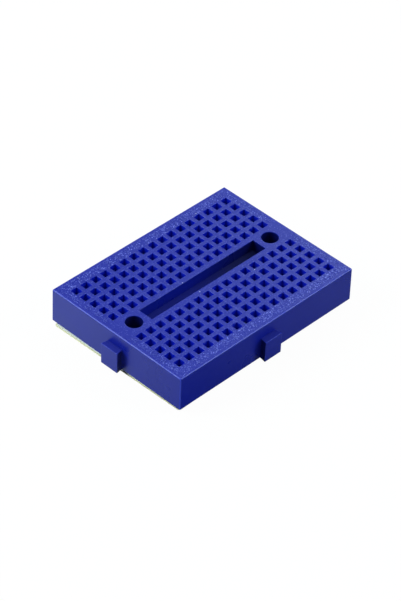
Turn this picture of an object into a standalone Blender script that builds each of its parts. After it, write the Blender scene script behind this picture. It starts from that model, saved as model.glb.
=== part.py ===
# Miniature solderless breadboard, 170 tie points.
# Metres, +Z up. +X runs along the columns' numbers, +Y across them from row a to row j.
# The origin is the middle of the tie-point grid, on the plane that the board rests on.

import bpy
import bmesh
from math import cos, pi, radians, sin

MM = 0.001

# Tie-point grid: a 0.1 inch pitch, with the two banks 0.3 inch apart
PITCH = 2.54 * MM
COLUMNS = 17
ROWS_IN_BANK = 5
BANK_CENTRE = 3.5 * PITCH

# Stack under the housing, from the table up
LAYER_GAP = 0.05 * MM
LINER_THICKNESS = 0.10 * MM
FOAM_THICKNESS = 0.55 * MM
FOAM_BASE = LINER_THICKNESS + LAYER_GAP
HOUSING_BASE = FOAM_BASE + FOAM_THICKNESS + LAYER_GAP

# Moulded housing
HOUSING_LENGTH = 46.95 * MM
HOUSING_WIDTH = 35.1 * MM
HOUSING_HEIGHT = 7.75 * MM
HOUSING_TOP = HOUSING_BASE + HOUSING_HEIGHT
CORNER_RADIUS = 0.35 * MM
TOP_EDGE_RADIUS = 0.35 * MM
EDGE_SEGMENTS = 2
ROOF_THICKNESS = 1.5 * MM
FUNNEL_MOUTH = 1.7 * MM
FUNNEL_THROAT = 1.25 * MM
CELL_WIDTH = 2.0 * MM
CELL_LENGTH = 12.4 * MM

# Channel that a chip straddles, and the two screw holes at its ends
CHANNEL_LENGTH = 31.0 * MM
CHANNEL_WIDTH = 3.5 * MM
CHANNEL_DEPTH = 2.6 * MM
SCREW_HOLE_RADIUS = 1.8 * MM
SCREW_HOLE_X = 18.5 * MM
SCREW_HOLE_SIDES = 32

# Dovetail tabs on the -X and -Y sides, and their sockets on the +X and +Y sides
TAB_REACH = 1.5 * MM
TAB_ROOT_WIDTH = 3.95 * MM
TAB_HEAD_WIDTH = 4.45 * MM
TAB_HEIGHT = 4.85 * MM
SOCKET_CLEARANCE = 0.12 * MM

# Adhesive foam and its release liner, stuck on a little off centre and not quite square
FOAM_LENGTH = 46.0 * MM
FOAM_WIDTH = 33.3 * MM
LINER_MARGIN = 0.2 * MM
SHEET_X = -0.15 * MM
SHEET_Y = 0.25 * MM
SHEET_TURN = radians(1.0)
DIE_CUT_RADIUS = 0.6 * MM
DIE_CUT_STEPS = 4

# Five-way spring contact, bent from strip
STRIP_THICKNESS = 0.2 * MM
CLIP_HALF_WIDTH = 0.8 * MM
CLIP_WALL_TOP = 2.3 * MM
CLIP_PINCH_HALF_GAP = 0.2 * MM
CLIP_PINCH_HEIGHT = 4.7 * MM
CLIP_TIP_HALF_GAP = 0.62 * MM
CLIP_TIP_HEIGHT = 5.8 * MM
CLIP_FINGER_WIDTH = 2.04 * MM
CLIP_SEAT = 0.15 * MM

# How far a cutting shape runs past the face it opens
OVERRUN = 0.5 * MM

PLASTIC = {"name": "blue_abs", "colour": (0.008, 0.018, 0.33), "roughness": 0.5, "metallic": 0.0}
SPRING_METAL = {"name": "plated_bronze", "colour": (0.70, 0.68, 0.63), "roughness": 0.3, "metallic": 1.0}
FOAM = {"name": "white_foam", "colour": (0.86, 0.86, 0.84), "roughness": 0.95, "metallic": 0.0}
LINER = {"name": "release_paper", "colour": (0.85, 0.76, 0.42), "roughness": 0.45, "metallic": 0.0}


def clear_scene():
    for old in list(bpy.data.objects):
        bpy.data.objects.remove(old, do_unlink=True)


def make_material(look):
    material = bpy.data.materials.new(look["name"])
    material.use_nodes = True
    shader = material.node_tree.nodes["Principled BSDF"]
    shader.inputs["Base Color"].default_value = (*look["colour"], 1.0)
    shader.inputs["Roughness"].default_value = look["roughness"]
    shader.inputs["Metallic"].default_value = look["metallic"]
    return material


def add_object(name, mesh, location, material=None, parent=None):
    item = bpy.data.objects.new(name, mesh)
    bpy.context.collection.objects.link(item)
    item.location = location
    item.parent = parent
    if material and not mesh.materials:
        mesh.materials.append(material)
    return item


def mesh_from(bm, name):
    mesh = bpy.data.meshes.new(name)
    bmesh.ops.recalc_face_normals(bm, faces=bm.faces)
    bm.to_mesh(mesh)
    bm.free()
    return mesh


def add_prism(bm, lower, upper, low_z, high_z):
    """A closed body between two outlines that have the same number of points."""
    floor = [bm.verts.new((x, y, low_z)) for x, y in lower]
    roof = [bm.verts.new((x, y, high_z)) for x, y in upper]
    bm.faces.new(floor)
    bm.faces.new(roof)
    for here in range(len(floor)):
        after = (here + 1) % len(floor)
        bm.faces.new((floor[here], floor[after], roof[after], roof[here]))


def rectangle(centre_x, centre_y, size_x, size_y):
    signs = ((-1, -1), (1, -1), (1, 1), (-1, 1))
    return [(centre_x + sx * size_x / 2, centre_y + sy * size_y / 2) for sx, sy in signs]


def rounded_rectangle(size_x, size_y, radius, steps):
    points = []
    for quarter, (sx, sy) in enumerate(((1, 1), (-1, 1), (-1, -1), (1, -1))):
        for step in range(steps + 1):
            angle = (quarter + step / steps) * pi / 2
            corner_x = sx * (size_x / 2 - radius)
            corner_y = sy * (size_y / 2 - radius)
            points.append((corner_x + radius * cos(angle), corner_y + radius * sin(angle)))
    return points


def circle(centre_x, centre_y, radius, sides):
    turns = [2 * pi * side / sides for side in range(sides)]
    return [(centre_x + radius * cos(turn), centre_y + radius * sin(turn)) for turn in turns]


def dovetail(root, root_width, head, head_width, along_x):
    """A dovetail's plan, from its root on a side face to its wider head."""
    half_root = root_width / 2
    half_head = head_width / 2
    points = [(root, -half_root), (head, -half_head), (head, half_head), (root, half_root)]
    return points if along_x else [(y, x) for x, y in points]


def extended(root, root_width, head, head_width, back_step):
    """The same dovetail with its root end carried on along its own flare by back_step."""
    flare = (head_width - root_width) / (head - root)
    return root + back_step, root_width + flare * back_step, head, head_width


def column_x(column):
    return (column - (COLUMNS - 1) / 2) * PITCH


def row_offset(row):
    return (row - (ROWS_IN_BANK - 1) / 2) * PITCH


def housing_block():
    """The plain block, with its upright corners and top edges rounded. Its base is at z = 0."""
    bm = bmesh.new()
    bmesh.ops.create_cube(bm, size=1.0)
    for vert in bm.verts:
        vert.co.x *= HOUSING_LENGTH
        vert.co.y *= HOUSING_WIDTH
        vert.co.z = (vert.co.z + 0.5) * HOUSING_HEIGHT
    upright = [edge for edge in bm.edges if edge.verts[0].co.z != edge.verts[1].co.z]
    bmesh.ops.bevel(
        bm, geom=upright, offset=CORNER_RADIUS, segments=EDGE_SEGMENTS, profile=0.5, affect="EDGES"
    )
    top = max(bm.faces, key=lambda face: face.calc_center_median().z)
    rim = list(top.edges)
    bmesh.ops.bevel(
        bm, geom=rim, offset=TOP_EDGE_RADIUS, segments=EDGE_SEGMENTS, profile=0.5, affect="EDGES"
    )
    return mesh_from(bm, "housing")


def tab_forms():
    """Both tabs, each with its root sunk into the block."""
    bm = bmesh.new()
    for along_x, side in ((True, HOUSING_LENGTH / 2), (False, HOUSING_WIDTH / 2)):
        plan = dovetail(
            *extended(-side, TAB_ROOT_WIDTH, -side - TAB_REACH, TAB_HEAD_WIDTH, OVERRUN), along_x
        )
        add_prism(bm, plan, plan, 0, TAB_HEIGHT)
    return mesh_from(bm, "tab_forms")


def pocket_forms():
    """What the mould's cores leave open: contact cells, sockets, the channel and the screw holes."""
    bm = bmesh.new()
    for column in range(COLUMNS):
        for bank in (-1, 1):
            plan = rectangle(column_x(column), bank * BANK_CENTRE, CELL_WIDTH, CELL_LENGTH)
            add_prism(bm, plan, plan, -OVERRUN, HOUSING_HEIGHT - ROOF_THICKNESS)
    for along_x, side in ((True, HOUSING_LENGTH / 2), (False, HOUSING_WIDTH / 2)):
        mouth = TAB_ROOT_WIDTH + 2 * SOCKET_CLEARANCE
        inner = TAB_HEAD_WIDTH + 2 * SOCKET_CLEARANCE
        depth = TAB_REACH + SOCKET_CLEARANCE
        plan = dovetail(*extended(side, mouth, side - depth, inner, OVERRUN), along_x)
        add_prism(bm, plan, plan, -OVERRUN, TAB_HEIGHT + SOCKET_CLEARANCE)
    channel = rectangle(0, 0, CHANNEL_LENGTH, CHANNEL_WIDTH)
    add_prism(bm, channel, channel, HOUSING_HEIGHT - CHANNEL_DEPTH, HOUSING_HEIGHT + OVERRUN)
    for side in (-1, 1):
        hole = circle(side * SCREW_HOLE_X, 0, SCREW_HOLE_RADIUS, SCREW_HOLE_SIDES)
        add_prism(bm, hole, hole, -OVERRUN, HOUSING_HEIGHT + OVERRUN)
    return mesh_from(bm, "pocket_forms")


def funnel_forms():
    """The square funnel through the roof at each tie point."""
    taper = (FUNNEL_MOUTH - FUNNEL_THROAT) / ROOF_THICKNESS
    wide = FUNNEL_MOUTH + taper * OVERRUN
    narrow = FUNNEL_THROAT - taper * OVERRUN
    low = HOUSING_HEIGHT - ROOF_THICKNESS - OVERRUN
    high = HOUSING_HEIGHT + OVERRUN
    bm = bmesh.new()
    for column in range(COLUMNS):
        for bank in (-1, 1):
            for row in range(ROWS_IN_BANK):
                x = column_x(column)
                y = bank * BANK_CENTRE + row_offset(row)
                add_prism(bm, rectangle(x, y, narrow, narrow), rectangle(x, y, wide, wide), low, high)
    return mesh_from(bm, "funnel_forms")


def add_boolean(target, form, operation):
    form.hide_render = True
    form.display_type = "WIRE"
    step = target.modifiers.new(form.name, "BOOLEAN")
    step.operation = operation
    step.object = form
    step.solver = "EXACT"


def make_housing(material, board):
    place = (0, 0, HOUSING_BASE)
    housing = add_object("housing", housing_block(), place, material, board)
    add_boolean(housing, add_object("tab_forms", tab_forms(), place, parent=board), "UNION")
    add_boolean(housing, add_object("pocket_forms", pocket_forms(), place, parent=board), "DIFFERENCE")
    add_boolean(housing, add_object("funnel_forms", funnel_forms(), place, parent=board), "DIFFERENCE")


def clip_sheet():
    """The mid-surface of one contact: a base, two walls, and a pair of fingers for each tie point."""
    bm = bmesh.new()
    half_length = row_offset(ROWS_IN_BANK - 1) + CLIP_FINGER_WIDTH / 2
    base_z = STRIP_THICKNESS / 2
    base_corners = {}
    for side in (-1, 1):
        wall_x = side * CLIP_HALF_WIDTH
        base_corners[side] = [bm.verts.new((wall_x, y, base_z)) for y in (-half_length, half_length)]
        roots = []
        for row in range(ROWS_IN_BANK):
            edges = [row_offset(row) + end * CLIP_FINGER_WIDTH / 2 for end in (-1, 1)]
            root = [bm.verts.new((wall_x, y, CLIP_WALL_TOP)) for y in edges]
            pinch = [bm.verts.new((side * CLIP_PINCH_HALF_GAP, y, CLIP_PINCH_HEIGHT)) for y in edges]
            tip = [bm.verts.new((side * CLIP_TIP_HALF_GAP, y, CLIP_TIP_HEIGHT)) for y in edges]
            bm.faces.new((root[0], root[1], pinch[1], pinch[0]))
            bm.faces.new((pinch[0], pinch[1], tip[1], tip[0]))
            roots += root
        bm.faces.new(base_corners[side] + roots[::-1])
    bm.faces.new(base_corners[-1] + base_corners[1][::-1])
    return mesh_from(bm, "contact_clip")


def make_clips(material, board):
    sheet = clip_sheet()
    for column in range(COLUMNS):
        for bank, rows in ((-1, "ae"), (1, "fj")):
            place = (column_x(column), bank * BANK_CENTRE, HOUSING_BASE + CLIP_SEAT)
            clip = add_object(f"contact_clip_{rows}_{column + 1:02d}", sheet, place, material, board)
            strip = clip.modifiers.new("strip_thickness", "SOLIDIFY")
            strip.thickness = STRIP_THICKNESS
            strip.offset = 0
            strip.use_even_offset = True


def turned(points, angle):
    return [(x * cos(angle) - y * sin(angle), x * sin(angle) + y * cos(angle)) for x, y in points]


def make_sheet(name, margin, thickness, base_z, material, parent=None):
    """A die-cut sheet that reaches past the foam's edge by margin all round."""
    bm = bmesh.new()
    plan = rounded_rectangle(
        FOAM_LENGTH + 2 * margin, FOAM_WIDTH + 2 * margin, DIE_CUT_RADIUS, DIE_CUT_STEPS
    )
    plan = turned(plan, SHEET_TURN)
    add_prism(bm, plan, plan, 0, thickness)
    add_object(name, mesh_from(bm, name), (SHEET_X, SHEET_Y, base_z), material, parent)


def main():
    clear_scene()
    board = bpy.data.objects.new("board", None)
    bpy.context.collection.objects.link(board)
    make_housing(make_material(PLASTIC), board)
    make_clips(make_material(SPRING_METAL), board)
    make_sheet("foam_pad", 0, FOAM_THICKNESS, FOAM_BASE, make_material(FOAM), board)
    # The liner pulls away along -X, so it has no parent
    make_sheet("release_liner", LINER_MARGIN, LINER_THICKNESS, 0, make_material(LINER))


main()
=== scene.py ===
import bpy
import bmesh
import math
import random
from mathutils import Matrix, Vector

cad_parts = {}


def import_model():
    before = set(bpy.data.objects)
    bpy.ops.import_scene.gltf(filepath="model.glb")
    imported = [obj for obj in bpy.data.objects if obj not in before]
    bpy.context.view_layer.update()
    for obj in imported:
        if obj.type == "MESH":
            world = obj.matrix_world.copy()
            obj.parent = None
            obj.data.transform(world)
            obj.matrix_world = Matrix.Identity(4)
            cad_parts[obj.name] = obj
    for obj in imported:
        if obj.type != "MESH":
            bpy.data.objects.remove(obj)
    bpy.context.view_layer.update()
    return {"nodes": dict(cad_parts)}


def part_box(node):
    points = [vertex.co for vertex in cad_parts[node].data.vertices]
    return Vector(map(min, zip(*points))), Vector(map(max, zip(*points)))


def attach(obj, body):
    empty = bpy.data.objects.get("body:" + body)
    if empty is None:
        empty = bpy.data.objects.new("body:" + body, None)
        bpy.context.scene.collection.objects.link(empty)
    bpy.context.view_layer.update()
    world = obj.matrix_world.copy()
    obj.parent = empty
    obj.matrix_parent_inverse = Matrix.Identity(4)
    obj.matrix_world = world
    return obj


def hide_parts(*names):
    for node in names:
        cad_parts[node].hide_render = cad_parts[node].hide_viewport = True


# Looks of a miniature solderless breadboard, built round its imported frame.
# Metres, +Z up. +X runs along the column numbers, +Y from row A to row J.

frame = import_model()
print("frame loaded,", len(frame["nodes"]), "nodes")

mm = 0.001
boardBody = "board"
linerBody = "liner"

# the 0.1 inch grid that everything is laid out from
pitch = 2.54 * mm
columnCount = 17
rowsInBank = 5
bankCentre = 3.5 * pitch

# what the frame gives
housingLow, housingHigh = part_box("housing")
blockHalfX = housingHigh.x
blockHalfY = housingHigh.y
tabReach = -housingLow.x - blockHalfX
housingBase = housingLow.z
boardTop = housingHigh.z
markHeight = 0.05 * mm
blockTop = boardTop - markHeight      # the raised marks reach the very top


def columnX(column):
    return (column - (columnCount - 1) / 2) * pitch


def rowOffset(row):
    return (row - (rowsInBank - 1) / 2) * pitch


def bankPlaces():
    for column in range(columnCount):
        for bank in (-1, 1):
            yield column, bank


def tiePoints():
    for column, bank in bankPlaces():
        for row in range(rowsInBank):
            yield columnX(column), bank * bankCentre + rowOffset(row)


def meshFrom(bm, name):
    bmesh.ops.recalc_face_normals(bm, faces=bm.faces)
    mesh = bpy.data.meshes.new(name)
    bm.to_mesh(mesh)
    bm.free()
    return mesh


def addObject(name, content, location=(0, 0, 0)):
    item = bpy.data.objects.new(name, content)
    bpy.context.scene.collection.objects.link(item)
    item.location = location
    return item


def addLoft(bm, outlines, heights):
    # closed body through outlines with the same number of points, one at each height
    rings = []
    for outline, height in zip(outlines, heights):
        rings.append([bm.verts.new((x, y, height)) for x, y in outline])
    bm.faces.new(rings[0])
    bm.faces.new(rings[-1])
    for lower, upper in zip(rings, rings[1:]):
        for here in range(len(lower)):
            after = (here + 1) % len(lower)
            bm.faces.new((lower[here], lower[after], upper[after], upper[here]))


def rectangle(centreX, centreY, sizeX, sizeY):
    signs = ((-1, -1), (1, -1), (1, 1), (-1, 1))
    return [(centreX + sx * sizeX / 2, centreY + sy * sizeY / 2) for sx, sy in signs]


def circle(centreX, centreY, radius, sides=64):
    turns = [2 * math.pi * side / sides for side in range(sides)]
    return [(centreX + radius * math.cos(turn), centreY + radius * math.sin(turn))
            for turn in turns]


cornerSteps = 6         # straight pieces in each arc of a rounded rectangle


def roundedRectangle(sizeX, sizeY, radius, sideSpacing=math.inf):
    # outline with arcs at the corners and points every sideSpacing along the sides
    corners = []
    for quarter, (sx, sy) in enumerate(((1, 1), (-1, 1), (-1, -1), (1, -1))):
        arc = []
        for step in range(cornerSteps + 1):
            angle = (quarter + step / cornerSteps) * math.pi / 2
            arc.append((sx * (sizeX / 2 - radius) + radius * math.cos(angle),
                        sy * (sizeY / 2 - radius) + radius * math.sin(angle)))
        corners.append(arc)
    points = []
    for here, arc in enumerate(corners):
        points += arc
        (startX, startY), (endX, endY) = arc[-1], corners[(here + 1) % 4][0]
        pieces = max(1, round(math.hypot(endX - startX, endY - startY) / sideSpacing))
        for step in range(1, pieces):
            share = step / pieces
            points.append((startX + (endX - startX) * share, startY + (endY - startY) * share))
    return points


def addBoolean(target, form, operation):
    step = target.modifiers.new(form.name, "BOOLEAN")
    step.operation = operation
    step.object = form
    step.solver = "EXACT"


def applyModifiers(item):
    # the evaluated mesh takes the place of the mesh and its modifiers
    evaluated = item.evaluated_get(bpy.context.evaluated_depsgraph_get())
    mesh = bpy.data.meshes.new_from_object(evaluated)
    item.modifiers.clear()
    item.data = mesh
    return mesh


def shadeByAngle(mesh, degrees):
    mesh.shade_smooth()
    mesh.set_sharp_from_angle(angle=math.radians(degrees))


def keepFlatFacesFlat(item):
    # big faces set the normals, so small rounded edges blend into them
    step = item.modifiers.new("flatFaces", "WEIGHTED_NORMAL")
    step.keep_sharp = True
    step.weight = 100


def newMaterial(name):
    material = bpy.data.materials.new(name)
    material.use_nodes = True
    nodes = material.node_tree.nodes
    return material, nodes, material.node_tree.links, nodes["Principled BSDF"]


def setInputs(node, values):
    for key, value in values.items():
        node.inputs[key].default_value = value


def feed(links, value, socket):
    # a number or a colour is set on the socket, and an output is linked to it
    if isinstance(value, tuple):
        socket.default_value = (*value, 1.0)
    elif isinstance(value, (int, float)):
        socket.default_value = value
    else:
        links.new(value, socket)


def mathNode(nodes, links, operation, first, second):
    node = nodes.new("ShaderNodeMath")
    node.operation = operation
    feed(links, first, node.inputs[0])
    feed(links, second, node.inputs[1])
    return node.outputs[0]


def mapRange(nodes, links, value, fromLow, fromHigh, toLow, toHigh, smooth=False):
    node = nodes.new("ShaderNodeMapRange")
    if smooth:
        node.interpolation_type = "SMOOTHSTEP"
    setInputs(node, {"From Min": fromLow, "From Max": fromHigh, "To Min": toLow, "To Max": toHigh})
    links.new(value, node.inputs["Value"])
    return node.outputs["Result"]


def mixColour(nodes, links, factor, first, second):
    node = nodes.new("ShaderNodeMix")
    node.data_type = "RGBA"
    sockets = {socket.identifier: socket for socket in node.inputs}
    feed(links, factor, sockets["Factor_Float"])
    feed(links, first, sockets["A_Color"])
    feed(links, second, sockets["B_Color"])
    return {socket.identifier: socket for socket in node.outputs}["Result_Color"]


def splitAxes(nodes, links, vector):
    axes = nodes.new("ShaderNodeSeparateXYZ")
    links.new(vector, axes.inputs[0])
    return axes.outputs


def setRoughness(nodes, links, shader, roughness, drift, spread):
    # roughness that drifts a little either side of its value
    shift = mapRange(nodes, links, drift, 0.3, 0.7, -spread, spread)
    links.new(mathNode(nodes, links, "ADD", roughness, shift), shader.inputs["Roughness"])


def setRelief(nodes, links, shader, height, strength, depth):
    bump = nodes.new("ShaderNodeBump")
    bump.inputs["Distance"].default_value = depth
    feed(links, strength, bump.inputs["Strength"])
    links.new(height, bump.inputs["Height"])
    links.new(bump.outputs["Normal"], shader.inputs["Normal"])


def newGroup(name, inputs, outputs):
    group = bpy.data.node_groups.new(name, "ShaderNodeTree")
    for label, kind, value in inputs:
        socket = group.interface.new_socket(name=label, in_out="INPUT", socket_type=kind)
        socket.default_value = value
    for label, kind in outputs:
        group.interface.new_socket(name=label, in_out="OUTPUT", socket_type=kind)
    return group, group.nodes.new("NodeGroupInput"), group.nodes.new("NodeGroupOutput")


def placeGroup(nodes, group, values):
    node = nodes.new("ShaderNodeGroup")
    node.node_tree = group
    setInputs(node, values)
    return node


def makeGrainGroup():
    # fine random grain: a centred height, and a mask that drifts slowly over the surface
    group, given, result = newGroup(
        "grain",
        [("Size", "NodeSocketFloat", 0.1 * mm), ("Drift Size", "NodeSocketFloat", 8 * mm),
         ("Detail", "NodeSocketFloat", 4.0)],
        [("Height", "NodeSocketFloat"), ("Drift", "NodeSocketFloat")],
    )
    nodes, links = group.nodes, group.links
    place = nodes.new("ShaderNodeTexCoord")
    for sizeName, outName, detail in (("Size", "Height", given.outputs["Detail"]),
                                      ("Drift Size", "Drift", 2.0)):
        noise = nodes.new("ShaderNodeTexNoise")
        scale = mathNode(nodes, links, "DIVIDE", 1.0, given.outputs[sizeName])
        links.new(scale, noise.inputs["Scale"])
        links.new(place.outputs["Object"], noise.inputs["Vector"])
        feed(links, detail, noise.inputs["Detail"])
        links.new(noise.outputs["Fac"], result.inputs[outName])
    return group


grainGroup = makeGrainGroup()
print("shared shader group built")


# the camera looks down on the corner between the two sides with tabs
cameraView = {
    "lens": 155.9,
    "azimuth": 46.53,       # degrees from +Y towards +X
    "elevation": 40.62,
    "roll": 2.38,
    "distance": 495.7 * mm,
    "aim": (-4.99 * mm, -4.19 * mm, boardTop),
}


def addCamera(view):
    camera = addObject("mainCamera", bpy.data.cameras.new("mainCamera"))
    azimuth, elevation = math.radians(view["azimuth"]), math.radians(view["elevation"])
    forward = Vector((math.sin(azimuth) * math.cos(elevation),
                      math.cos(azimuth) * math.cos(elevation),
                      -math.sin(elevation)))
    camera.location = Vector(view["aim"]) - forward * view["distance"]
    turn = forward.to_track_quat("-Z", "Y").to_matrix()
    roll = Matrix.Rotation(math.radians(view["roll"]), 3, "Z")
    camera.rotation_euler = (turn @ roll).to_euler()
    camera.data.lens = view["lens"]
    camera.data.clip_start = 0.01
    camera.data.clip_end = 20
    bpy.context.scene.camera = camera


addCamera(cameraView)
print("camera set")


# blue moulded plastic, with a spark-eroded grain on top and nearly plain sides
plasticLook = {
    "base": (0.003, 0.010, 0.270),
    "pale": (0.006, 0.014, 0.330),
    "thinWallPaintedLight": (0.003, 0.012, 0.48),   # painted light: the walls between the tie points are painted lighter, for the light they let through
    # a painted highlight on the rounded edges and the lips of the openings
    "edge": (0.05, 0.09, 0.95),
    "deep": (0.001, 0.002, 0.03),       # painted shade on the channel's far end, in the screw holes and on the tabs' flanks
    "crestWearAndGlint": (0.22, 0.26, 0.88),        # the grain's crests, partly wear and partly painted glint, and a painted highlight on the tops of the marks
    "specular": 0.45,
    "topRoughness": 0.45,
    "sideRoughness": 0.3,
    "ledgeRoughness": 0.85,             # the channel floor and the tabs' tops are dull
    "roughnessSpread": 0.04,
    "grainSize": 0.27 * mm,
    "driftSize": 7 * mm,
    "grainDepth": 0.02 * mm,
    "topGrain": 0.8,
    "sideGrain": 0.1,
    "crestHeights": (0.54, 0.70),       # how high in the grain the wear and painted glint start and are full
    # how much crest colour, part wear and part painted glint, the plain top and the rims get
    "plainSparkle": 0.25,
    "rimSparkle": 0.95,
    "shortBandShare": 0.6,              # the short sides' bands are less coarse than the long ones
    "markHeights": (0.42, 0.60),
    "markHollow": 0.35,                 # painted highlight left in the hollows of the marks' grain
    "markHighlight": 0.3,
    "edgeHighlight": 0.28,
    "uprightShare": 1.8,                # the upright edges get more painted highlight than the level ones
    # painted shade in the channel, the screw holes and on the tabs' flanks
    "channelPaintedShade": (0.05, 0.75),       # from the -X end to the +X end
    "holePaintedShade": 0.75,
    "flankPaintedShade": 0.6,
    "dust": ((-3.8, 1.9), (-3.2, -2.2), (-17.5, 16.6), (9.2, -4.8), (13.1, 15.2)),    # mm
    "dustRadius": 0.13 * mm,
    "dustColour": (0.55, 0.60, 0.80),
}

# where those looks come and go: each zone is a soft step from its first value to its second
plasticZones = {
    # one axis of the face's own direction
    "levelFace": (0.6, 0.95),
    "edgeStart": (0.2, 0.5),
    "edgeEnd": (0.9, 0.995),
    "cornerSlant": (0.2, 0.45),
    "wallSlope": (0.3, 0.5),
    "flankFace": (-0.95, -0.8),
    # height
    "topFace": (boardTop - 0.6 * mm, boardTop - 0.3 * mm),
    "markTop": (blockTop + 0.02 * mm, boardTop),
    "opening": (blockTop - 0.4 * mm, blockTop - 0.1 * mm),
    # distance from the middle of the block, on either side of it
    "longBandInner": (14.5 * mm, 15.2 * mm),
    "longBandOuter": (16.5 * mm, 16.9 * mm),
    "longBandEnds": (20.5 * mm, 21.8 * mm),
    "shortBandInner": (20.9 * mm, 21.3 * mm),
    "shortBandOuter": (22.6 * mm, 22.9 * mm),
    "shortBandMiddle": (3.0 * mm, 4.5 * mm),
    "outerX": (21.5 * mm, 22.5 * mm),
    "outerY": (16.0 * mm, 16.5 * mm),
    "bankInner": (2.2 * mm, 2.6 * mm),
    "bankOuter": (14.9 * mm, 15.2 * mm),
    "bankEnds": (21.4 * mm, 21.6 * mm),
    "middleStrip": (1.85 * mm, 1.95 * mm),
    "middleEnds": (20.6 * mm, 20.8 * mm),
    "screwHoles": (15.6 * mm, 16.0 * mm),
    # place along one axis
    "channelX": (-5.0 * mm, 15.0 * mm),
    "tabX": (-23.7 * mm, -23.5 * mm),
    "tabY": (-17.8 * mm, -17.6 * mm),
}


def dustMask(nodes, links, place, look):
    # a few grains of dust on the top face
    radius = look["dustRadius"]
    total = 0.0
    for x, y in look["dust"]:
        away = nodes.new("ShaderNodeVectorMath")
        away.operation = "DISTANCE"
        away.inputs[1].default_value = (x * mm, y * mm, blockTop)
        links.new(place, away.inputs[0])
        near = mapRange(nodes, links, away.outputs["Value"], radius / 2, radius, 1.0, 0.0)
        total = mathNode(nodes, links, "MAXIMUM", total, near)
    return total


def makePlastic(look, zones):
    material, nodes, links, shader = newMaterial("blueAbs")

    def combine(operation, total, *others):
        for other in others:
            total = mathNode(nodes, links, operation, total, other)
        return total

    def ramp(value, low, high, start=0.0, end=1.0):
        return mapRange(nodes, links, value, low, high, start, end, smooth=True)

    def after(value, zone, full=1.0):
        return ramp(value, *zones[zone], 0.0, full)

    def before(value, zone, full=1.0):
        return ramp(value, *zones[zone], full, 0.0)

    grain = placeGroup(nodes, grainGroup,
                       {"Size": look["grainSize"], "Drift Size": look["driftSize"]})
    height, drift = grain.outputs["Height"], grain.outputs["Drift"]
    place = nodes.new("ShaderNodeTexCoord").outputs["Object"]
    faceNormal = nodes.new("ShaderNodeNewGeometry").outputs["True Normal"]
    x, y, z = splitAxes(nodes, links, place)
    normalX, normalY, normalZ = splitAxes(nodes, links, faceNormal)
    awayX, awayY, slantX, slantY = [
        combine("ABSOLUTE", value, 0.0) for value in (x, y, normalX, normalY)]
    levelFace = after(normalZ, "levelFace")
    up = combine("MULTIPLY", levelFace, after(z, "topFace"))
    ledge = combine("SUBTRACT", levelFace, up)

    # the bands with the marks are coarser, so they get more crest wear and painted glint, most of
    # all along the long sides
    longBand = combine(
        "MULTIPLY", after(awayY, "longBandInner"), before(awayY, "longBandOuter"),
        before(awayX, "longBandEnds"))
    shortBand = combine(
        "MULTIPLY", after(awayX, "shortBandInner"), before(awayX, "shortBandOuter"),
        after(awayY, "shortBandMiddle", look["shortBandShare"]))
    rim = combine("MAXIMUM", longBand, shortBand)

    # painted highlight on the rounded edges: level ones by their slope, upright ones only on the
    # outside of the block
    levelEdge = combine("MULTIPLY", after(normalZ, "edgeStart"), before(normalZ, "edgeEnd"))
    corner = after(combine("MINIMUM", slantX, slantY), "cornerSlant", look["uprightShare"])
    outside = combine("MAXIMUM", after(awayX, "outerX"), after(awayY, "outerY"))
    edge = combine("MAXIMUM", levelEdge, combine("MULTIPLY", corner, outside))

    # walls of the funnels, between the channel and the rims, painted lighter for the light that
    # passes through them
    funnelWall = combine(
        "MULTIPLY", before(normalZ, "wallSlope"), after(awayY, "bankInner"),
        before(awayY, "bankOuter"), before(awayX, "bankEnds"))

    # painted shade in the channel, more so towards +X, in the screw holes, and on the tabs' sides
    inside = combine(
        "MULTIPLY", before(awayY, "middleStrip"), before(awayX, "middleEnds"),
        before(z, "opening"))
    pit = combine("MAXIMUM", ramp(x, *zones["channelX"], *look["channelPaintedShade"]),
                  after(awayX, "screwHoles", look["holePaintedShade"]))
    flank = look["flankPaintedShade"]
    flankX = combine("MULTIPLY", before(normalX, "flankFace", flank), before(y, "tabY"))
    flankY = combine("MULTIPLY", before(normalY, "flankFace", flank), before(x, "tabX"))
    paintedShade = combine("MAXIMUM", combine("MULTIPLY", inside, pit), flankX, flankY)

    # wear and painted glints on the grain's crests, and a painted highlight on the raised marks
    crestWearAndGlint = combine("MULTIPLY", ramp(height, *look["crestHeights"]),
                    ramp(rim, 0.0, 1.0, look["plainSparkle"], look["rimSparkle"]))
    mark = combine("MULTIPLY", after(z, "markTop", look["markHighlight"]),
                   ramp(height, *look["markHeights"], look["markHollow"], 1.0))
    wearAndHighlights = combine("MULTIPLY", combine("MAXIMUM", crestWearAndGlint, mark), up)

    # over the drifting base tone go: the funnel walls' painted light, crest wear with painted
    # glints and the marks' painted highlight, the edges' painted highlight, painted shade, and dust
    tint = mixColour(nodes, links, drift, look["base"], look["pale"])
    for mask, colour in (
            (funnelWall, look["thinWallPaintedLight"]), (wearAndHighlights, look["crestWearAndGlint"]),
            (combine("MULTIPLY", edge, look["edgeHighlight"]), look["edge"]),
            (paintedShade, look["deep"]), (dustMask(nodes, links, place, look), look["dustColour"])):
        tint = mixColour(nodes, links, mask, tint, colour)
    links.new(tint, shader.inputs["Base Color"])

    roughness = combine(
        "ADD", ramp(up, 0.0, 1.0, look["sideRoughness"], look["topRoughness"]),
        combine("MULTIPLY", ledge, look["ledgeRoughness"] - look["sideRoughness"]))
    setRoughness(nodes, links, shader, roughness, drift, look["roughnessSpread"])
    strength = mapRange(nodes, links, up, 0.0, 1.0, look["sideGrain"], look["topGrain"])
    setRelief(nodes, links, shader, height, strength, look["grainDepth"])
    shader.inputs["Specular IOR Level"].default_value = look["specular"]
    return material


plastic = makePlastic(plasticLook, plasticZones)
print("plastic made")


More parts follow.
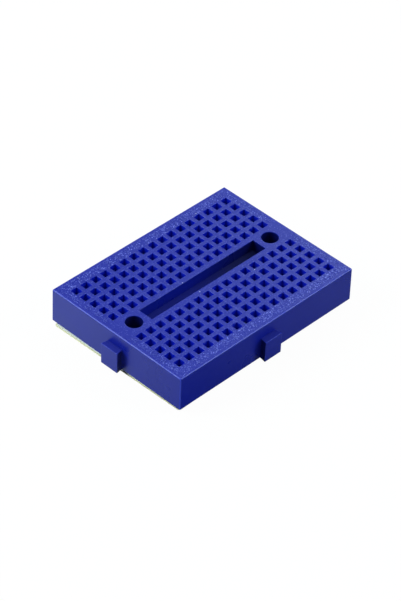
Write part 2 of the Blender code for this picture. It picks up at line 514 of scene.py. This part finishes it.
housingShape = {
    "cornerRadius": 0.32 * mm,
    "leastRadius": 0.02 * mm,       # what is left of a corner where the outline is drawn in
    "topEdgeRadius": 0.33 * mm,
    "footRadius": 0.1 * mm,
    "draft": 0.06 * mm,
    "edgeSegments": 5,
    "roof": 1.5 * mm,
    "funnelMouth": 1.62 * mm,
    "funnelThroat": 1.25 * mm,
    "funnelLip": 0.08 * mm,
    "cellWidth": 2.0 * mm,
    "cellLength": 12.4 * mm,
    "channelLength": 30.96 * mm,
    "channelWidth": 3.46 * mm,
    "channelDepth": 2.6 * mm,
    "channelLip": 0.06 * mm,
    "screwHoleRadius": 1.78 * mm,
    "screwHoleX": 18.5 * mm,
    "screwHoleLip": 0.06 * mm,
    "tabRootWidth": 3.95 * mm,
    "tabHeadWidth": 4.45 * mm,
    "tabHeight": 4.85 * mm,
    "tabEdgeRadius": 0.12 * mm,
    "tabEdgeSegments": 3,
    "socketClearance": 0.12 * mm,
    "sharpAngle": 34,
}
overrun = 0.5 * mm          # how far a cutting shape runs past the face it opens


def makeBlock(shape):
    # rounded rectangles from the base up, drawn in by the sides' draft, then over the top edge
    def outlineFor(grow):
        return roundedRectangle(2 * (blockHalfX + grow), 2 * (blockHalfY + grow),
                                max(shape["cornerRadius"] + grow, shape["leastRadius"]))

    radius, foot, steps = shape["topEdgeRadius"], shape["footRadius"], shape["edgeSegments"]
    outlines, heights = [outlineFor(-foot), outlineFor(0)], [housingBase, housingBase + foot]
    for step in range(steps + 1):
        turn = math.pi / 2 * step / steps
        outlines.append(outlineFor(-shape["draft"] - radius * (1 - math.cos(turn))))
        heights.append(blockTop - radius + radius * math.sin(turn))
    bm = bmesh.new()
    addLoft(bm, outlines, heights)
    return addObject("housingShell", meshFrom(bm, "housingShell"))


def dovetail(root, rootWidth, head, headWidth, alongX):
    # plan of a dovetail, carried on past its root along its own flare
    flare = (headWidth - rootWidth) / (head - root)
    start = root - math.copysign(overrun, head - root)
    startWidth = rootWidth + flare * (start - root)
    points = [(start, -startWidth / 2), (head, -headWidth / 2),
              (head, headWidth / 2), (start, startWidth / 2)]
    return points if alongX else [(y, x) for x, y in points]


def makeTabs(shape):
    bm = bmesh.new()
    for alongX, side in ((True, -blockHalfX), (False, -blockHalfY)):
        plan = dovetail(side, shape["tabRootWidth"],
                        side - tabReach, shape["tabHeadWidth"], alongX)
        addLoft(bm, [plan, plan], [housingBase, housingBase + shape["tabHeight"]])
    bmesh.ops.recalc_face_normals(bm, faces=bm.faces)
    bmesh.ops.bevel(bm, geom=list(bm.edges), offset=shape["tabEdgeRadius"],
                    segments=shape["tabEdgeSegments"], profile=0.5, affect="EDGES")
    return meshFrom(bm, "tabs")


# the small arc at the top of an opening, which leaves through the top face at a slope
lipSteps = 4
lipTurn = math.radians(80)
lipRise = 0.02 * mm


def addLippedForm(bm, outlineFor, bottom, lip, taper=0.0):
    # a cutting shape whose mouth flares out in an arc at the top face
    reach = blockTop - lip - bottom
    outlines, heights = [outlineFor(-taper * reach)], [bottom]
    for step in range(lipSteps + 1):
        turn = lipTurn * step / lipSteps
        outlines.append(outlineFor(lip * (1 - math.cos(turn))))
        heights.append(blockTop - lip + lip * math.sin(turn))
    outlines.append(outlineFor(lip * (1 - math.cos(lipTurn)) + lipRise * math.tan(lipTurn)))
    heights.append(heights[-1] + lipRise)
    addLoft(bm, outlines, heights)


def makePockets(shape):
    bm = bmesh.new()
    for column, bank in bankPlaces():
        plan = rectangle(columnX(column), bank * bankCentre,
                         shape["cellWidth"], shape["cellLength"])
        addLoft(bm, [plan, plan], [housingBase - overrun, boardTop - shape["roof"]])
    gap = shape["socketClearance"]
    for alongX, side in ((True, blockHalfX), (False, blockHalfY)):
        plan = dovetail(side, shape["tabRootWidth"] + 2 * gap, side - tabReach - gap,
                        shape["tabHeadWidth"] + 2 * gap, alongX)
        addLoft(bm, [plan, plan], [housingBase - overrun, housingBase + shape["tabHeight"] + gap])
    length, width = shape["channelLength"], shape["channelWidth"]
    addLippedForm(bm, lambda grow: rectangle(0, 0, length + 2 * grow, width + 2 * grow),
                  boardTop - shape["channelDepth"], shape["channelLip"])
    for x in (-shape["screwHoleX"], shape["screwHoleX"]):
        addLippedForm(bm, lambda grow: circle(x, 0, shape["screwHoleRadius"] + grow),
                      housingBase - overrun, shape["screwHoleLip"])
    return meshFrom(bm, "pockets")


def makeFunnels(shape):
    mouth = shape["funnelMouth"]
    taper = (mouth - shape["funnelThroat"]) / 2 / shape["roof"]
    bm = bmesh.new()
    for x, y in tiePoints():
        addLippedForm(bm, lambda grow: rectangle(x, y, mouth + 2 * grow, mouth + 2 * grow),
                      boardTop - shape["roof"] - overrun, shape["funnelLip"], taper)
    return meshFrom(bm, "funnels")


# raised numbers at both ends of each column, and a letter at both ends of each row
markShape = {
    "numberHeight": 1.3 * mm,
    "letterHeight": 1.2 * mm,
    "numberY": 15.95 * mm,
    "leftLetterX": -22.05 * mm,
    "rightLetterX": 22.2 * mm,
    "sunk": 0.1 * mm,
    "capitalShare": 0.7,        # how much of a letter's size its capitals fill
    "curveSteps": 3,
    "weldDistance": 0.002 * mm,
    "letters": "ABCDEFGHIJ",
}


def addMark(bm, marks, text, x, y, height):
    depth = markHeight + marks["sunk"]
    curve = bpy.data.curves.new("mark", "FONT")
    curve.body = text
    curve.size = height / marks["capitalShare"]
    curve.align_x = "CENTER"
    curve.align_y = "CENTER"
    curve.resolution_u = marks["curveSteps"]
    curve.extrude = depth / 2
    item = addObject("mark", curve, (x, y, boardTop - depth / 2))
    bpy.context.view_layer.update()
    evaluated = item.evaluated_get(bpy.context.evaluated_depsgraph_get())
    mesh = bpy.data.meshes.new_from_object(evaluated)
    mesh.transform(item.matrix_world)
    bm.from_mesh(mesh)
    bpy.data.objects.remove(item)
    bpy.data.meshes.remove(mesh)
    bpy.data.curves.remove(curve)


def makeMarks(marks):
    bm = bmesh.new()
    for column in range(columnCount):
        for y in (-marks["numberY"], marks["numberY"]):
            addMark(bm, marks, str(column + 1), columnX(column), y, marks["numberHeight"])
    for place, letter in enumerate(marks["letters"]):
        bank = -1 if place < rowsInBank else 1
        y = bank * bankCentre + rowOffset(place % rowsInBank)
        for x in (marks["leftLetterX"], marks["rightLetterX"]):
            addMark(bm, marks, letter, x, y, marks["letterHeight"])
    bmesh.ops.remove_doubles(bm, verts=bm.verts, dist=marks["weldDistance"])
    # no sliver faces in the flat caps
    bmesh.ops.beautify_fill(bm, faces=bm.faces, edges=bm.edges)
    return meshFrom(bm, "marks")


def makeHousing(shape):
    housing = makeBlock(shape)
    forms = []
    for mesh, operation in ((makeTabs(shape), "UNION"), (makeMarks(markShape), "UNION"),
                            (makePockets(shape), "DIFFERENCE"), (makeFunnels(shape), "DIFFERENCE")):
        form = addObject(mesh.name, mesh)
        addBoolean(housing, form, operation)
        forms.append(form)
    applyModifiers(housing)
    for form in forms:
        bpy.data.objects.remove(form)
    housing.data.materials.clear()
    housing.data.materials.append(plastic)
    shadeByAngle(housing.data, shape["sharpAngle"])
    keepFlatFacesFlat(housing)
    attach(housing, boardBody)
    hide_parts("housing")
    return housing


housing = makeHousing(housingShape)
print("housing built,", len(housing.data.polygons), "faces")


# spring contacts, each bent from one strip
clipShape = {
    "strip": 0.2 * mm,
    "halfWidth": 0.8 * mm,
    "wallTop": 2.3 * mm,
    "pinchHalfGap": 0.2 * mm,
    "pinchHeight": 4.7 * mm,
    "bends": ((0.28 * mm, 4), (1.5 * mm, 3), (0.8 * mm, 4)),    # radius and steps, base first
    "tipHalfGap": 0.62 * mm,
    "tipHeight": 5.8 * mm,
    "fingerWidth": 2.04 * mm,
    "tipInset": 0.3 * mm,
    "slotDepth": 0.05 * mm,         # how far the slots between fingers run down into the walls
    "edgeRadius": 0.03 * mm,
    "edgeSegments": 2,
    "edgeAngle": 60,
    "sharpAngle": 40,
}
metalLook = {
    "bright": (0.78, 0.76, 0.71),
    "dull": (0.60, 0.57, 0.50),
    "roughness": 0.28,
    "roughnessSpread": 0.08,
    "grainSize": 0.12 * mm,
    "driftSize": 2.5 * mm,
    "relief": 0.3,
    "grainDepth": 0.002 * mm,
}


def makeMetal(look):
    material, nodes, links, shader = newMaterial("platedBronze")
    grain = placeGroup(nodes, grainGroup,
                       {"Size": look["grainSize"], "Drift Size": look["driftSize"]})
    height, drift = grain.outputs["Height"], grain.outputs["Drift"]
    links.new(mixColour(nodes, links, drift, look["dull"], look["bright"]),
              shader.inputs["Base Color"])
    setRoughness(nodes, links, shader, look["roughness"], height, look["roughnessSpread"])
    setRelief(nodes, links, shader, height, look["relief"], look["grainDepth"])
    shader.inputs["Metallic"].default_value = 1.0
    return material


def roundCorner(before, corner, after, radius, steps):
    # arc that replaces a corner of a polyline
    first, last = (before - corner).normalized(), (after - corner).normalized()
    half = first.angle(last) / 2
    reach = radius / math.tan(half)
    centre = corner + (first + last).normalized() * (radius / math.sin(half))
    start, end = corner + first * reach - centre, corner + last * reach - centre
    turn = start.angle(end)
    arc = []
    for step in range(steps + 1):
        share = step / steps
        blend = start * math.sin((1 - share) * turn) + end * math.sin(share * turn)
        arc.append(centre + blend / math.sin(turn))
    return arc


def clipProfile(shape):
    # half of the bent strip's middle line, from the middle of its base to a finger tip
    corners = [
        Vector((0.0, shape["strip"] / 2)),
        Vector((shape["halfWidth"], shape["strip"] / 2)),
        Vector((shape["halfWidth"], shape["wallTop"])),
        Vector((shape["pinchHalfGap"], shape["pinchHeight"])),
        Vector((shape["tipHalfGap"], shape["tipHeight"])),
    ]
    line = [corners[0]]
    for place, (radius, steps) in enumerate(shape["bends"], start=1):
        line += roundCorner(corners[place - 1], corners[place], corners[place + 1], radius, steps)
    return line + [corners[-1]]


def makeClipMesh(shape):
    half = clipProfile(shape)
    profile = [Vector((-p.x, p.y)) for p in half[:0:-1]] + half
    spans = []
    for row in range(rowsInBank):
        middle = rowOffset(row)
        spans.append((middle - shape["fingerWidth"] / 2, middle + shape["fingerWidth"] / 2))
    stations = [y for span in spans for y in span]
    bm = bmesh.new()
    rows = []
    for place, point in enumerate(profile):
        inset = shape["tipInset"] if place in (0, len(profile) - 1) else 0.0
        rows.append([bm.verts.new((point.x, y + (inset if index % 2 == 0 else -inset), point.y))
                     for index, y in enumerate(stations)])
    slotRoot = shape["wallTop"] - shape["slotDepth"]
    for here, (lower, upper) in enumerate(zip(rows, rows[1:])):
        aboveRoot = max(profile[here].y, profile[here + 1].y) > slotRoot
        for index in range(len(stations) - 1):
            isSlot = index % 2 == 1
            if not (aboveRoot and isSlot):
                bm.faces.new((lower[index], lower[index + 1], upper[index + 1], upper[index]))
    mesh = meshFrom(bm, "contactClip")
    item = addObject("clipForm", mesh)
    strip = item.modifiers.new("strip", "SOLIDIFY")
    strip.thickness = shape["strip"]
    strip.offset = 0
    strip.use_even_offset = True
    soften = item.modifiers.new("soften", "BEVEL")
    soften.width = shape["edgeRadius"]
    soften.segments = shape["edgeSegments"]
    soften.limit_method = "ANGLE"
    soften.angle_limit = math.radians(shape["edgeAngle"])
    mesh = applyModifiers(item)
    bpy.data.objects.remove(item)
    shadeByAngle(mesh, shape["sharpAngle"])
    return mesh


def makeClips(shape):
    mesh = makeClipMesh(shape)
    mesh.materials.clear()
    mesh.materials.append(makeMetal(metalLook))
    for column, bank in bankPlaces():
        node = f"contact_clip_{'ae' if bank < 0 else 'fj'}_{column + 1:02d}"
        low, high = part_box(node)
        clip = addObject(node.replace("contact_clip", "contactClip"), mesh,
                         ((low.x + high.x) / 2, (low.y + high.y) / 2, low.z))
        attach(clip, boardBody)
        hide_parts(node)
    return mesh


clipMesh = makeClips(clipShape)
print("contact clips built,", len(clipMesh.polygons), "faces each")


# the foam and its liner were stuck on a little off centre, and not quite square
sheetTurn = math.radians(1.0)


def sheetOutline(shape):
    return roundedRectangle(shape["length"], shape["width"], shape["cornerRadius"],
                            shape["pointSpacing"])


def placeSheet(mesh, low, high):
    middle = (low + high) / 2
    turn = Matrix.Rotation(sheetTurn, 4, "Z")
    mesh.transform(Matrix.Translation((middle.x, middle.y, 0)) @ turn)


foamShape = {
    "length": 46.0 * mm,
    "width": 33.3 * mm,
    "cornerRadius": 0.6 * mm,
    "pointSpacing": 0.3 * mm,
    "film": 0.04 * mm,                  # adhesive on both faces
    "edgeLevels": (0.3, 0.55, 0.8),     # shares of the height where the cut edge wanders
    "recess": 0.05 * mm,
    "unevenness": 0.05 * mm,
    "sharpAngle": 50,
    "seed": 7,
}
foamLook = {
    "white": (0.86, 0.86, 0.83),
    "shade": (0.70, 0.70, 0.66),
    "cellSize": 0.22 * mm,
    "cellDepth": 0.02 * mm,
    "relief": 0.6,
    "grainSize": 0.08 * mm,
    "driftSize": 6 * mm,
    "roughness": 0.85,
    "roughnessSpread": 0.08,
}


def makeFoamMaterial(look):
    material, nodes, links, shader = newMaterial("whiteFoam")
    place = nodes.new("ShaderNodeTexCoord")
    cells = nodes.new("ShaderNodeTexVoronoi")
    cells.inputs["Scale"].default_value = 1 / look["cellSize"]
    links.new(place.outputs["Object"], cells.inputs["Vector"])
    depth = cells.outputs["Distance"]
    # the cell hollows are painted in shade, darker towards each cell's middle
    links.new(mixColour(nodes, links, depth, look["shade"], look["white"]),
              shader.inputs["Base Color"])
    grain = placeGroup(nodes, grainGroup,
                       {"Size": look["grainSize"], "Drift Size": look["driftSize"]})
    drift = grain.outputs["Drift"]
    setRoughness(nodes, links, shader, look["roughness"], drift, look["roughnessSpread"])
    setRelief(nodes, links, shader, depth, look["relief"], look["cellDepth"])
    return material


def shrunk(outline, amount):
    # the outline with each point moved towards the middle by amount, which may be a list
    amounts = amount if isinstance(amount, list) else [amount] * len(outline)
    moved = []
    for (x, y), step in zip(outline, amounts):
        length = math.hypot(x, y)
        moved.append((x - x / length * step, y - y / length * step))
    return moved


def makeFoam(shape):
    low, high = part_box("foam_pad")
    outline = sheetOutline(shape)
    draw = random.Random(shape["seed"])
    height = high.z - low.z
    edgeLevels = [height * share for share in shape["edgeLevels"]]
    levels = [0.0, shape["film"], *edgeLevels, height - shape["film"], height]
    outlines = []
    for level in levels:
        onFilm = level in (levels[0], levels[-1])
        depth = 0.0 if onFilm else shape["recess"]
        jitter = 0.0 if onFilm else shape["unevenness"]
        outlines.append(shrunk(outline, [depth + jitter * draw.random() for _ in outline]))
    bm = bmesh.new()
    addLoft(bm, outlines, [low.z + level for level in levels])
    foam = addObject("foamPad", meshFrom(bm, "foamPad"))
    placeSheet(foam.data, low, high)
    foam.data.materials.append(makeFoamMaterial(foamLook))
    shadeByAngle(foam.data, shape["sharpAngle"])
    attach(foam, boardBody)
    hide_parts("foam_pad")


makeFoam(foamShape)
print("foam built")


linerShape = {
    "length": 46.4 * mm,
    "width": 33.7 * mm,
    "cornerRadius": 0.6 * mm,
    "pointSpacing": 0.6 * mm,
    "unevenness": 0.03 * mm,
    "edgeRound": 0.02 * mm,
    "sharpAngle": 40,
    "seed": 3,
}
linerLook = {
    "paper": (0.93, 0.89, 0.56),
    "deep": (0.86, 0.79, 0.42),
    "fibreSize": 0.5 * mm,
    "fibreDetail": 8.0,
    "fibreDepth": 0.01 * mm,
    "relief": 0.3,
    "driftSize": 9 * mm,
    "roughness": 0.45,
    "roughnessSpread": 0.06,
}


def makePaper(look):
    material, nodes, links, shader = newMaterial("releasePaper")
    grain = placeGroup(nodes, grainGroup, {
        "Size": look["fibreSize"], "Drift Size": look["driftSize"], "Detail": look["fibreDetail"]})
    height, drift = grain.outputs["Height"], grain.outputs["Drift"]
    links.new(mixColour(nodes, links, height, look["deep"], look["paper"]),
              shader.inputs["Base Color"])
    setRoughness(nodes, links, shader, look["roughness"], drift, look["roughnessSpread"])
    setRelief(nodes, links, shader, height, look["relief"], look["fibreDepth"])
    return material


def makeLiner(shape):
    low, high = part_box("release_liner")
    draw = random.Random(shape["seed"])
    outline = sheetOutline(shape)
    outline = shrunk(outline, [shape["unevenness"] * draw.random() for _ in outline])
    inner = shrunk(outline, shape["edgeRound"])
    bm = bmesh.new()
    addLoft(bm, [inner, outline, outline, inner],
            [low.z, low.z + shape["edgeRound"], high.z - shape["edgeRound"], high.z])
    liner = addObject("releaseLiner", meshFrom(bm, "releaseLiner"))
    placeSheet(liner.data, low, high)
    liner.data.materials.append(makePaper(linerLook))
    shadeByAngle(liner.data, shape["sharpAngle"])
    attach(liner, linerBody)
    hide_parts("release_liner")


makeLiner(linerShape)
print("liner built")


# floor, light and two cards that only reflections see
studio = {
    "floorSize": 3.0,
    "floorDrop": 0.2 * mm,
    "floorRoughness": 0.9,
    "floorGlow": (1.0, 1.0, 1.0),
    "floorWhite": 1.02,
    "glowShare": 0.95,              # how much of the floor's own shading the glow covers
    "bounce": (0.60, 0.60, 0.60),   # what the floor gives back to the board
    "lightColour": (0.90, 1.05, 1.06),
    "lightDistance": 0.6,
    "sky": 0.005,
    "lights": {
        "overhead": ((0.0, 0.0, 1.0), 0.5, 0.86),
        "backRight": ((0.8, 0.35, 0.45), 0.35, 1.05),
        "leftBack": ((-0.65, 0.52, 0.55), 0.35, 2.80),
        "frontHigh": ((-0.3, -1.0, 0.8), 0.35, 0.22),
        "backLow": ((0.1, 1.0, 0.5), 0.35, 0.96),
        "rightFront": ((0.55, -0.65, 0.52), 0.3, 1.75),
    },
    "cardReach": 0.2,
    "cardDrop": 0.1 * mm,
    "leftCard": {"along": "Y", "range": (-17 * mm, 17 * mm), "glow": (0.40, 0.86)},
    "frontCard": {"along": "X", "range": (-22 * mm, 22 * mm), "glow": (0.0, 0.24)},
}


def makeFloor(look):
    bm = bmesh.new()
    bmesh.ops.create_grid(bm, x_segments=1, y_segments=1, size=look["floorSize"] / 2)
    floor = addObject("floor", meshFrom(bm, "floor"), (0, 0, -look["floorDrop"]))
    material, nodes, links, shader = newMaterial("paleFloor")
    shader.inputs["Base Color"].default_value = (*look["bounce"], 1.0)
    shader.inputs["Roughness"].default_value = look["floorRoughness"]
    shader.inputs["Specular IOR Level"].default_value = 0.0
    glow = nodes.new("ShaderNodeEmission")
    setInputs(glow, {"Color": (*look["floorGlow"], 1.0), "Strength": look["floorWhite"]})
    rays = nodes.new("ShaderNodeLightPath")
    share = mathNode(nodes, links, "MULTIPLY", rays.outputs["Is Camera Ray"], look["glowShare"])
    both = nodes.new("ShaderNodeMixShader")
    links.new(share, both.inputs[0])
    links.new(shader.outputs[0], both.inputs[1])
    links.new(glow.outputs[0], both.inputs[2])
    links.new(both.outputs[0], nodes["Material Output"].inputs["Surface"])
    floor.data.materials.append(material)
    floor.visible_glossy = False


def makeCard(name, lowX, highX, lowY, highY, look):
    # lies on the floor beside the board, and glows from dim to bright along one axis
    bm = bmesh.new()
    bm.faces.new([bm.verts.new(place) for place in
                  ((lowX, lowY, 0), (highX, lowY, 0), (highX, highY, 0), (lowX, highY, 0))])
    card = addObject(name, meshFrom(bm, name), (0, 0, -studio["cardDrop"]))
    material, nodes, links, shader = newMaterial(name)
    place = nodes.new("ShaderNodeTexCoord").outputs["Object"]
    axes = splitAxes(nodes, links, place)
    strength = mapRange(nodes, links, axes[look["along"]], *look["range"], *look["glow"])
    glow = nodes.new("ShaderNodeEmission")
    glow.inputs["Color"].default_value = (*studio["lightColour"], 1.0)
    links.new(strength, glow.inputs["Strength"])
    links.new(glow.outputs[0], nodes["Material Output"].inputs["Surface"])
    card.data.materials.append(material)
    card.visible_camera = False
    card.visible_diffuse = False
    card.visible_shadow = False


def addSoftLight(name, direction, size, power):
    light = bpy.data.lights.new(name, "AREA")
    light.shape = "DISK"
    light.size = size
    light.energy = power
    light.color = studio["lightColour"]
    item = addObject(name, light, Vector(direction).normalized() * studio["lightDistance"])
    item.rotation_euler = (-item.location).to_track_quat("-Z", "Y").to_euler()
    item.visible_camera = False


def makeWorld(colour, strength):
    world = bpy.data.worlds.new("studio")
    world.use_nodes = True
    setInputs(world.node_tree.nodes["Background"],
              {"Color": (*colour, 1.0), "Strength": strength})
    bpy.context.scene.world = world


makeFloor(studio)
reach = studio["cardReach"]
makeCard("leftCard", -reach, -blockHalfX, -reach, reach, studio["leftCard"])
makeCard("frontCard", -blockHalfX, reach, -reach, -blockHalfY, studio["frontCard"])
for name, (direction, size, power) in studio["lights"].items():
    addSoftLight(name, direction, size, power)
makeWorld(studio["lightColour"], studio["sky"])
bpy.context.scene.view_settings.view_transform = "Standard"
print("floor and lights set")
